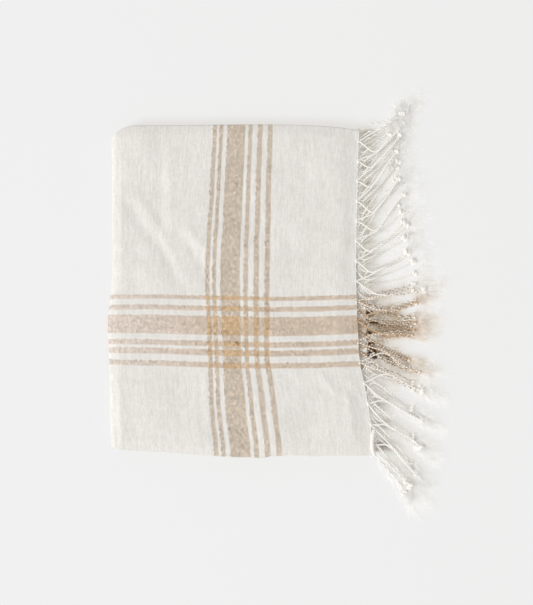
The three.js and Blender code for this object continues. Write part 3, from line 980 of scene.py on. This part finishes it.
def thread_height(threads, yarns):
    """The height of the plain weave: the thread on top is round, and dips towards its neighbours."""
    weft_dip, warp_dip = threads.weft_side ** 2, threads.warp_side ** 2
    over = (1 - weft_dip) * (1 - 0.5 * warp_dip) * threads.weft_on_top
    under = (1 - warp_dip) * (1 - 0.5 * weft_dip) * (1 - threads.weft_on_top)
    height = WEAVE_HEIGHT["threads"] * (over + under)
    return height + WEAVE_HEIGHT["slub"] * yarns["slub"] + WEAVE_HEIGHT["fleck"] * yarns["fleck"]


def woven_material():
    """Plain weave of slubby white yarn, with tan bands in the weft and in the warp."""
    material, shader, tree = new_material("hand_woven_cotton", 0.92, 0.05)
    uv = tree.node("ShaderNodeUVMap", {"uv_map": "weave"})
    along, across, _ = tree.parts(tree.scaled(uv, 1 / MM))
    end_distance = along.at_most(CLOTH_LENGTH - along)
    side_distance = across.at_most(CLOTH["width"] - across)
    threads = lay_threads(tree, along, across)
    yarns = spin_yarns(tree, along, across, threads)
    bands = weave_bands(tree, end_distance, side_distance, threads, yarns)
    cloth = dye(tree, end_distance, threads, yarns, bands)
    tone = brightness(threads, yarns, bands)
    shaded = tree.colour(1.0, cloth, tree.vector(tone, tone, tone), "MULTIPLY")
    normal = bump(tree, thread_height(threads, yarns), 0.9 * MM)
    give(shader, {"Base Color": shaded, "Normal": normal})
    return material


def soften(shader):
    """Lets light through thin cotton."""
    radius = (1.0, 1.0, 1.0)
    give(shader, {"Subsurface Weight": 0.7, "Subsurface Radius": radius, "Subsurface Scale": 0.5 * MM})


def yarn_material():
    """Spun yarn of the fringe: white, with tan plies where the warp bands run out. The lower rows' tan is
    drawn browner as painted shade, and the yarn glows faintly as painted light.
    """
    material, shader, tree = new_material("fringe_yarn", 0.92, 0.05)
    soften(shader)
    turn, run, tint, depth = (tree.carried(name) for name in ("turn", "run", "tint", "depth"))
    strand = (turn * 2 * math.pi + run * (2 * math.pi / YARN_PITCH["strand"])).sine()
    fibres = (turn * 2 * math.pi * 3 + run * (2 * math.pi / YARN_PITCH["fibre"])).sine()
    lint = tree.noise(tree.place(), scale=900.0, detail=3.0)
    stranded = strand * 0.3 + 0.5 + (lint - 0.5) * 0.6
    tan_share = tree.between(stranded, 0.9 - tint * 1.3, 1.4 - tint * 1.3)
    white = tree.colour(lint, srgb(234, 231, 225), srgb(245, 243, 239))
    tan = tree.colour(lint, srgb(172, 141, 105), srgb(215, 190, 158))
    # The lower rows' tan turns deep brown: painted shade.
    painted_shade_tan = tree.colour(lint, srgb(117, 85, 49), srgb(173, 141, 99))
    colour = tree.colour(tan_share, white, tree.colour(depth, tan, painted_shade_tan))
    normal = bump(tree, fibres * 0.05 + lint * 0.2, 0.4 * MM)
    give(shader, {"Base Color": colour, "Normal": normal})
    # A faint glow in the yarn's own colour: painted light that lifts the plies lying in shade.
    give(shader, {"Emission Color": colour, "Emission Strength": 0.07})
    return material


def fibre_material():
    """Loose cotton fibres, which glow a little in their own colour: painted light that stands in for light
    scattered through them.
    """
    material, shader, tree = new_material("loose_fibres", 0.95)
    soften(shader)
    tint, airy = tree.carried("tint"), tree.carried("airy")
    lint = tree.noise(tree.place(), scale=700.0, detail=3.0)
    clump = tree.noise(tree.place(), scale=160.0, detail=1.0)
    white = tree.colour(lint, srgb(234, 233, 230), srgb(248, 247, 245))
    tan = tree.colour(lint, srgb(170, 138, 102), srgb(217, 193, 162))
    tan_share = tree.between(tint * 1.5 + (clump - 0.5) * 0.6, 0.05, 0.95)
    colour = tree.colour(tan_share, white, tan)
    # A glow in the fibres' own colour, scaled at each place: painted light.
    glow = tree.scaled(colour, airy)
    give(shader, {"Base Color": colour, "Emission Color": glow, "Emission Strength": 0.12})
    return material


def shade_gap_material():
    """Deep brown fibres low in the gaps between the tan cords: painted shade."""
    material, shader, tree = new_material("brown_fibres", 1.0, gloss=0.0)
    lint = tree.noise(tree.place(), scale=600.0, detail=3.0)
    give(shader, {"Base Color": tree.colour(lint, srgb(78, 48, 14), srgb(146, 104, 54))})
    return material


# The trees that grow the fringe.
def growing_tree(name, inputs):
    """A geometry tree with named inputs, and the sockets that carry them."""
    group = bpy.data.node_groups.new(name, "GeometryNodeTree")
    group.interface.new_socket("Geometry", in_out="INPUT", socket_type="NodeSocketGeometry")
    for label, kind in inputs.items():
        group.interface.new_socket(label, in_out="INPUT", socket_type=kind)
    group.interface.new_socket("Geometry", in_out="OUTPUT", socket_type="NodeSocketGeometry")
    tree = Tree(group)
    entry = group.nodes.new("NodeGroupInput")
    given = {output.name: Socket(tree, output) for output in entry.outputs if output.name}
    return group, tree, given


def close_tree(tree, geometry, material, smooth=True):
    """Ends a tree with real geometry in its material."""
    geometry = realized(tree, geometry)
    geometry = tree.node("GeometryNodeSetShadeSmooth", {}, {"Geometry": geometry, "Shade Smooth": smooth})
    geometry = tree.node("GeometryNodeSetMaterial", {}, {"Geometry": geometry, "Material": material})
    give(tree.group.nodes.new("NodeGroupOutput"), {0: geometry})


def stored(tree, geometry, name, value):
    """Geometry that carries a number under a name at each point."""
    settings = {"data_type": "FLOAT", "domain": "POINT"}
    sockets = {"Geometry": geometry, "Name": name, "Value": value}
    return tree.node("GeometryNodeStoreNamedAttribute", settings, sockets)


def realized(tree, geometry):
    return tree.node("GeometryNodeRealizeInstances", {}, {"Geometry": geometry})


def moved(tree, geometry, offset):
    return tree.node("GeometryNodeSetPosition", {}, {"Geometry": geometry, "Offset": offset})


def along_curve(tree, output):
    return tree.node("GeometryNodeSplineParameter", output=output)


def random_number(tree, low, high, seed):
    """A random number for each point or instance."""
    sockets = {2: low, 3: high, "Seed": seed}
    return tree.node("FunctionNodeRandomValue", {"data_type": "FLOAT"}, sockets, 1)


def placed_on(tree, points, instance, turn, size):
    """Instances on points, turned by angles about X, Y and Z and scaled."""
    rotation = tree.node("FunctionNodeEulerToRotation", {}, {"Euler": turn})
    scale = tree.vector(size, size, size)
    sockets = {"Points": points, "Instance": instance, "Rotation": rotation, "Scale": scale}
    return tree.node("GeometryNodeInstanceOnPoints", {}, sockets)


def read_number(tree, name):
    """A number that the points carry under a name."""
    return tree.node("GeometryNodeInputNamedAttribute", {"data_type": "FLOAT"}, {"Name": name}, "Attribute")


def swept(tree, curve, radius, sides):
    """A round yarn along a curve, which keeps its turn round the yarn and its run along it."""
    curve = stored(tree, curve, "run", along_curve(tree, "Length") * (1 / MM))
    profile = tree.node("GeometryNodeCurvePrimitiveCircle", {}, {"Resolution": sides, "Radius": 1.0})
    profile = stored(tree, profile, "turn", along_curve(tree, "Factor"))
    sockets = {"Curve": curve, "Profile Curve": profile, "Scale": radius, "Fill Caps": True}
    return tree.node("GeometryNodeCurveToMesh", {}, sockets)


def ply_tree():
    """Winds each ply round the middle of its pair, from where the two plies meet."""
    floats = ("Ply Radius", "Helix Radius", "Twist Length", "Step")
    inputs = {**{label: "NodeSocketFloat" for label in floats}, "Sides": "NodeSocketInt"}
    group, tree, given = growing_tree("wound_plies", {**inputs, "Yarn": "NodeSocketMaterial"})
    curve = tree.node("GeometryNodeMeshToCurve", {}, {"Mesh": given["Geometry"]})
    sockets = {"Curve": curve, "Length": given["Step"]}
    curve = tree.node("GeometryNodeResampleCurve", {"mode": "LENGTH"}, sockets)
    tangent = tree.node("GeometryNodeInputTangent")
    level = tree.move("NORMALIZE", tree.move("CROSS_PRODUCT", tree.vector(0, 0, 1.0), tangent))
    upright = tree.move("CROSS_PRODUCT", tangent, level)
    laid, side, wound, thick = (read_number(tree, name) for name in ("laid", "side", "wound", "thick"))
    angle = laid.at_least(0.0) / given["Twist Length"] * (2 * math.pi)
    arm = side * wound * thick * given["Helix Radius"]
    sideways = tree.scaled(level, angle.cosine() * arm)
    offset = tree.move("ADD", sideways, tree.scaled(upright, angle.sine() * arm))
    plies = swept(tree, moved(tree, curve, offset), given["Ply Radius"] * thick, given["Sides"])
    close_tree(tree, plies, given["Yarn"])
    return group


def knot_tree():
    """Sets a small overhand knot at each point, turned to its cord's heading."""
    inputs = {"Knot": "NodeSocketObject", "Size": "NodeSocketFloat", "Seed": "NodeSocketInt"}
    group, tree, given = growing_tree("end_knots", {**inputs, "Yarn": "NodeSocketMaterial"})
    points = tree.node("GeometryNodeMeshToPoints", {}, {"Mesh": given["Geometry"]})
    knot = tree.node("GeometryNodeObjectInfo", {}, {"Object": given["Knot"]}, "Geometry")
    vary = random_number(tree, -1.0, 1.0, given["Seed"])
    turn = tree.vector(vary * 0.8, vary * 0.35, read_number(tree, "heading"))
    size = given["Size"] * (1 + vary * 0.16) * read_number(tree, "scale")
    close_tree(tree, placed_on(tree, points, knot, turn, size), given["Yarn"])
    return group


def straight_fibres(tree, given):
    """Straight fibres strewn round each point, along its heading."""
    def vary(low, high, step):
        return random_number(tree, low, high, given["Seed"] + step)

    points = tree.node("GeometryNodeMeshToPoints", {}, {"Mesh": given["Geometry"]})
    sockets = {"Geometry": points, "Amount": given["Fibres"]}
    points = tree.node("GeometryNodeDuplicateElements", {"domain": "POINT"}, sockets)
    aside = tree.vector(vary(-1.0, 1.0, 4) * given["Scatter"], vary(-1.0, 1.0, 5) * given["Scatter"])
    up = tree.vector(0.0, 0.0, vary(-1.0, 0.6, 6) * given["Rise"])
    points = moved(tree, points, tree.move("ADD", aside, up))
    line = tree.node("GeometryNodeCurvePrimitiveLine", {}, {"End": tree.vector(given["Length"])})
    sockets = {"Curve": line, "Count": given["Joints"]}
    fibre = tree.node("GeometryNodeResampleCurve", {"mode": "COUNT"}, sockets)
    spread = vary(-1.0, 1.0, 1)
    heading = read_number(tree, "heading") + spread * spread.size() * given["Spread"]
    turn = tree.vector(0.0, 0 - vary(-0.25, 0.35, 2), heading)
    return realized(tree, placed_on(tree, points, fibre, turn, vary(0.45, 1.0, 3)))


def fibre_tree():
    """Strews loose fibres round each point, curls them, and keeps them above the floor."""
    floats = ("Length", "Thickness", "Spread", "Curl", "Floor", "Scatter", "Rise")
    counts = {label: "NodeSocketInt" for label in ("Fibres", "Joints", "Seed")}
    inputs = {**{label: "NodeSocketFloat" for label in floats}, **counts}
    group, tree, given = growing_tree("loose_fibres", {**inputs, "Yarn": "NodeSocketMaterial"})
    fibres = straight_fibres(tree, given)
    place = tree.node("GeometryNodeInputPosition")
    drift = tree.node("ShaderNodeTexNoise", {}, {"Vector": place, "Scale": 130.0, "Detail": 1.0}, "Color")
    share = along_curve(tree, "Factor")
    curl = tree.scaled(tree.move("SUBTRACT", drift, tree.vector(0.5, 0.5, 0.5)), share * given["Curl"])
    fibres = moved(tree, fibres, curl)
    x, y, z = tree.parts(tree.node("GeometryNodeInputPosition"))
    floored = tree.vector(x, y, z.at_least(given["Floor"]))
    fibres = tree.node("GeometryNodeSetPosition", {}, {"Geometry": fibres, "Position": floored})
    taper = given["Thickness"] * (1 - share * 0.6)
    close_tree(tree, swept(tree, fibres, taper, 3), given["Yarn"], smooth=False)
    return group


def seeded_mesh(name, points, edges, **columns):
    """A mesh of bare points and edges that carries numbers for a tree to read."""
    mesh = bpy.data.meshes.new(name)
    mesh.from_pydata((np.array(points) * MM).tolist(), edges, [])
    for label, values in columns.items():
        layer = mesh.attributes.new(label, "FLOAT", "POINT")
        layer.data.foreach_set("value", np.array(values, dtype=np.float32))
    return mesh


def placed(name, data):
    """An object at the origin that holds a mesh, a lamp or a camera."""
    thing = bpy.data.objects.new(name, data)
    bpy.context.scene.collection.objects.link(thing)
    return thing


def lay_on_floor(mesh):
    """Presses whatever would sink into the floor flat on it."""
    places = np.empty(3 * len(mesh.vertices), dtype=np.float32)
    mesh.vertices.foreach_get("co", places)
    places[2::3] = np.maximum(places[2::3], 0.0)
    mesh.vertices.foreach_set("co", places)
    mesh.update()


def grow(name, seed_mesh, group, **values):
    """Runs a tree on a mesh, and keeps what grows as a plain mesh."""
    piece = placed(name, seed_mesh)
    modifier = piece.modifiers.new(name, "NODES")
    modifier.node_group = group
    for item in group.interface.items_tree:
        label = item.name.replace(" ", "_").lower()
        if item.in_out == "INPUT" and label in values:
            modifier[item.identifier] = values[label]
    bpy.context.view_layer.update()
    evaluated = piece.evaluated_get(bpy.context.evaluated_depsgraph_get())
    grown = bpy.data.meshes.new_from_object(evaluated)
    piece.modifiers.clear()
    piece.data = grown
    grown.name = name
    if name != "knot_shape":
        lay_on_floor(grown)
    return piece


def knot_path():
    """The line of an overhand knot, tied in a yarn that runs along X."""
    steps = 44
    angles = [2 * math.pi * i / steps for i in range(steps)]
    points = [(
        0.42 * math.sin(3 * t),
        0.36 * (math.sin(t) + 1.7 * math.sin(2 * t)),
        0.36 * (math.cos(t) - 1.7 * math.cos(2 * t)),
    ) for t in angles]
    edges = [(i, (i + 1) % steps) for i in range(steps)]
    zeros = [0.0] * steps
    return seeded_mesh("knot_path", points, edges, laid=zeros, side=zeros, wound=zeros, thick=[1.0] * steps)


def make_knot_shape(trees, yarn):
    """The knot that the knot tree copies, about 3 mm across before it is scaled."""
    sizes = dict(ply_radius=0.46 * MM, helix_radius=0.0, twist_length=1 * MM, step=0.35 * MM)
    return grow("knot_shape", knot_path(), trees["ply"], **sizes, sides=6, yarn=yarn)


def tie_knots(name, places, trees, yarn, seed):
    """Knots at places that come with headings, shares of tan and scales."""
    points, headings, tints, scales = zip(*places)
    seeds = seeded_mesh(name + "_points", points, [], heading=headings, tint=tints, scale=scales)
    return grow(name, seeds, trees["knot"], knot=trees["knot_shape"], size=2.2, seed=seed, yarn=yarn)


def make_knots(label, knots, roots, trees, yarn):
    """The knots that end the cords, and the small hitches at the roots."""
    places = [(place, heading, tan, 1.0 - 0.25 * tan) for place, heading, tan in knots]
    places += [(place, heading, tan, 0.6) for place, heading, tan in roots]
    return tie_knots(label + "_knots", places, trees, yarn, seed=4)


# A small nub of yarn in the weave, by its place along and across the cloth.
NUB = {"along": 93.6, "across": 86.6, "above": 0.9, "heading": 0.6, "tan": 0.85, "scale": 0.7}


def make_nub(trees, yarn):
    """The nub: one small knot that sits in the top layer."""
    place = settled(*(np.array([NUB[key]]) for key in ("along", "across", "above")))[0]
    return tie_knots("woven_nub", [(place, NUB["heading"], NUB["tan"], NUB["scale"])], trees, yarn, seed=6)


def make_cords(label, plies, trees, yarn):
    """All plies of one towel end, wound into cords."""
    points, edges = [], []
    columns = {name: [] for name in ("laid", "wound", "side", "tint", "thick", "depth")}
    for ply in plies:
        first, count = len(points), len(ply["points"])
        points += ply["points"]
        edges += [(first + i, first + i + 1) for i in range(count - 1)]
        columns["laid"] += [distance * MM for distance in ply["laid"]]
        columns["wound"] += [1.0 if distance >= 0 else 0.0 for distance in ply["laid"]]
        for name in ("side", "tint", "thick", "depth"):
            columns[name] += [{**ply, **ply["row"]}[name]] * count
    seeds = seeded_mesh(label + "_plies", points, edges, **columns)
    sizes = dict(ply_radius=0.62 * MM, helix_radius=PAIR["helix"] * MM, twist_length=5.5 * MM)
    return grow(label + "_cords", seeds, trees["ply"], **sizes, step=0.5 * MM, sides=7, yarn=yarn)


# The loose fibres: their length and thickness and how far they curl, scatter and rise, in millimetres, and
# the angle over which they spread, in radians. Then how many lie at each place, and of how many points.
LOOSE = {
    "tufts": dict(length=15, thickness=0.11, spread=0.85, curl=13, scatter=1.6, rise=0.8),
    "strays": dict(length=10, thickness=0.09, spread=1.2, curl=8, scatter=4.0, rise=1.4),
    "shaded": dict(length=7, thickness=0.05, spread=1.4, curl=5, scatter=3.6, rise=1.2),
    "gaps": dict(length=4.5, thickness=0.2, spread=0.6, curl=3, scatter=0.8, rise=1.0),
}
LOOSE_COUNTS = {
    "tufts": dict(fibres=96, joints=7),
    "strays": dict(fibres=13, joints=5),
    "shaded": dict(fibres=48, joints=4),
    "gaps": dict(fibres=20, joints=4),
}


def strew(label, kind, places, trees, material):
    """One kind of loose fibres at all its places, which come with headings, shares of tan and shares of
    painted glow.
    """
    sizes = {name: value * MM for name, value in LOOSE[kind].items()}
    sizes.update(LOOSE_COUNTS[kind], spread=LOOSE[kind]["spread"])
    points, headings, tints, glow_shares = zip(*places)
    seeds = seeded_mesh(f"{label}_{kind}_points", points, [], heading=headings, tint=tints, airy=glow_shares)
    return grow(f"{label}_{kind}", seeds, trees["fibre"], **sizes, floor=0.2 * MM, seed=9, yarn=material)


TWINE = {"inset": 0.1, "above": 0.12, "tan": 0.7, "tan_reach": 1.5}


def make_edge_twine(label, end, trees, yarn):
    """The twined last weft, which holds the fringe along the cut edge."""
    edge = TWINE["inset"] if end["at_start"] else CLOTH_LENGTH - TWINE["inset"]
    v = np.arange(0.0, CLOTH["width"] + 0.5, 1.0)
    line = settled(np.full_like(v, edge), v, np.full_like(v, TWINE["above"])).tolist()
    steps = [(i, i + 1) for i in range(len(v) - 1)]
    near = TWINE["tan_reach"]
    from_side = np.minimum(v, CLOTH["width"] - v)
    tints = [TWINE["tan"] * band_share(WARP_BANDS, place - near, place + near) for place in from_side]
    ones = [1.0] * (2 * len(v))
    seeds = seeded_mesh(
        label + "_twine",
        line + line,
        steps + [(len(v) + i, len(v) + j) for i, j in steps],
        laid=(v * MM).tolist() * 2,
        side=[1] * len(v) + [-1] * len(v),
        wound=ones,
        tint=tints * 2,
        thick=ones,
    )
    sizes = dict(ply_radius=0.38 * MM, helix_radius=0.28 * MM, twist_length=3.0 * MM, step=0.6 * MM)
    return grow(label + "_edge", seeds, trees["ply"], **sizes, sides=6, yarn=yarn)


def make_fringe(label, end, trees, yarn, fibre, shade_fibres):
    """All of one towel end's fringe, as pieces that replace its CAD node."""
    plies, knots, roots, loose = lay_fringe(end)
    pieces = [make_cords(label, plies, trees, yarn), make_knots(label, knots, roots, trees, yarn)]
    pieces.append(make_edge_twine(label, end, trees, yarn))
    pieces += [strew(label, kind, places, trees, fibre) for kind, places in loose.items()]
    # Deep brown fibres in the gaps of the second end: painted shade.
    if not end["at_start"]:
        pieces.append(strew(label, "gaps", shade_gap_places(), trees, shade_fibres))
    for piece in pieces:
        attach(piece, "root")
        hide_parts(f"fringe_{label}_end")
    return pieces


# The camera, the light and the floor. The photograph's size and its place of the origin are in pixels.
PHOTO = {"width": 533, "height": 605, "panel_x": 235, "panel_y": 291, "mm_per_pixel": 0.77}
LENS = {"focal": 100.0, "sensor": 36.0, "focus_height": 11.0}


def make_camera():
    """Looks straight down from above, so that the panel falls where the photograph has it."""
    data = bpy.data.cameras.new("overhead_camera")
    data.lens = LENS["focal"]
    data.sensor_width = LENS["sensor"]
    data.clip_start, data.clip_end = 0.01, 20.0
    scale = PHOTO["mm_per_pixel"]
    distance = PHOTO["height"] * scale * LENS["focal"] / LENS["sensor"]
    x = (PHOTO["width"] / 2 - PHOTO["panel_x"]) * scale
    y = (PHOTO["panel_y"] - PHOTO["height"] / 2) * scale
    camera = placed("overhead_camera", data)
    camera.location = Vector((x, y, LENS["focus_height"] + distance)) * MM
    bpy.context.scene.camera = camera


ROOM_LIGHT = 0.6
LAMP = {"azimuth": 208.0, "elevation": 40.0, "distance": 5.0, "size": 2.4, "power": 158.0}


def make_light():
    """An even pale room, with one large soft lamp towards the lower left of the picture."""
    world = bpy.data.worlds.new("studio")
    world.use_nodes = True
    give(world.node_tree.nodes["Background"], {"Color": (1.0, 1.0, 1.0, 1.0), "Strength": ROOM_LIGHT})
    bpy.context.scene.world = world
    lamp = bpy.data.lights.new("soft_box", "AREA")
    lamp.shape = "DISK"
    lamp.size = LAMP["size"]
    lamp.energy = LAMP["power"]
    azimuth, elevation = math.radians(LAMP["azimuth"]), math.radians(LAMP["elevation"])
    level = math.cos(elevation)
    towards = Vector((level * math.cos(azimuth), level * math.sin(azimuth), math.sin(elevation)))
    light = placed("soft_box", lamp)
    light.location = towards * LAMP["distance"]
    light.rotation_euler = towards.to_track_quat("Z", "Y").to_euler()


def make_floor():
    """A pale table, which glows a little, as a lit photographer's table does."""
    mesh = bpy.data.meshes.new("floor")
    half = 4.0
    corners = [(-half, -half, 0), (half, -half, 0), (half, half, 0), (-half, half, 0)]
    mesh.from_pydata(corners, [], [(0, 1, 2, 3)])
    material, shader, _ = new_material("pale_floor", 0.9, gloss=0.0)
    # Its glow is warm and its own colour bluish, so that it is neutral where fully lit and turns warm in
    # shadow: painted warm shade.
    base, glow = (0.238, 0.259, 0.324, 1.0), (1.02, 0.985, 0.88, 1.0)
    give(shader, {"Base Color": base, "Emission Color": glow, "Emission Strength": 0.62})
    mesh.materials.append(material)
    placed("floor", mesh)


def make_cloth(weave):
    mesh = cloth_mesh("cloth")
    mesh.materials.append(weave)
    return placed("cloth", mesh)


def make_towel():
    """The cloth with its nub, and the fringe of both ends."""
    weave, yarn, fibre, shade_fibres = woven_material(), yarn_material(), fibre_material(), shade_gap_material()
    cloth = make_cloth(weave)
    trees = {"ply": ply_tree(), "knot": knot_tree(), "fibre": fibre_tree()}
    trees["knot_shape"] = make_knot_shape(trees, yarn)
    fringe = []
    for label, end in ENDS.items():
        fringe += make_fringe(label, end, trees, yarn, fibre, shade_fibres)
    nub = make_nub(trees, yarn)
    bpy.data.objects.remove(trees["knot_shape"])
    for piece in (cloth, nub):
        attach(piece, "root")
        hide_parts("towel_cloth")


bpy.context.scene.view_settings.view_transform = "Standard"
make_camera()
make_light()
make_floor()
make_towel()
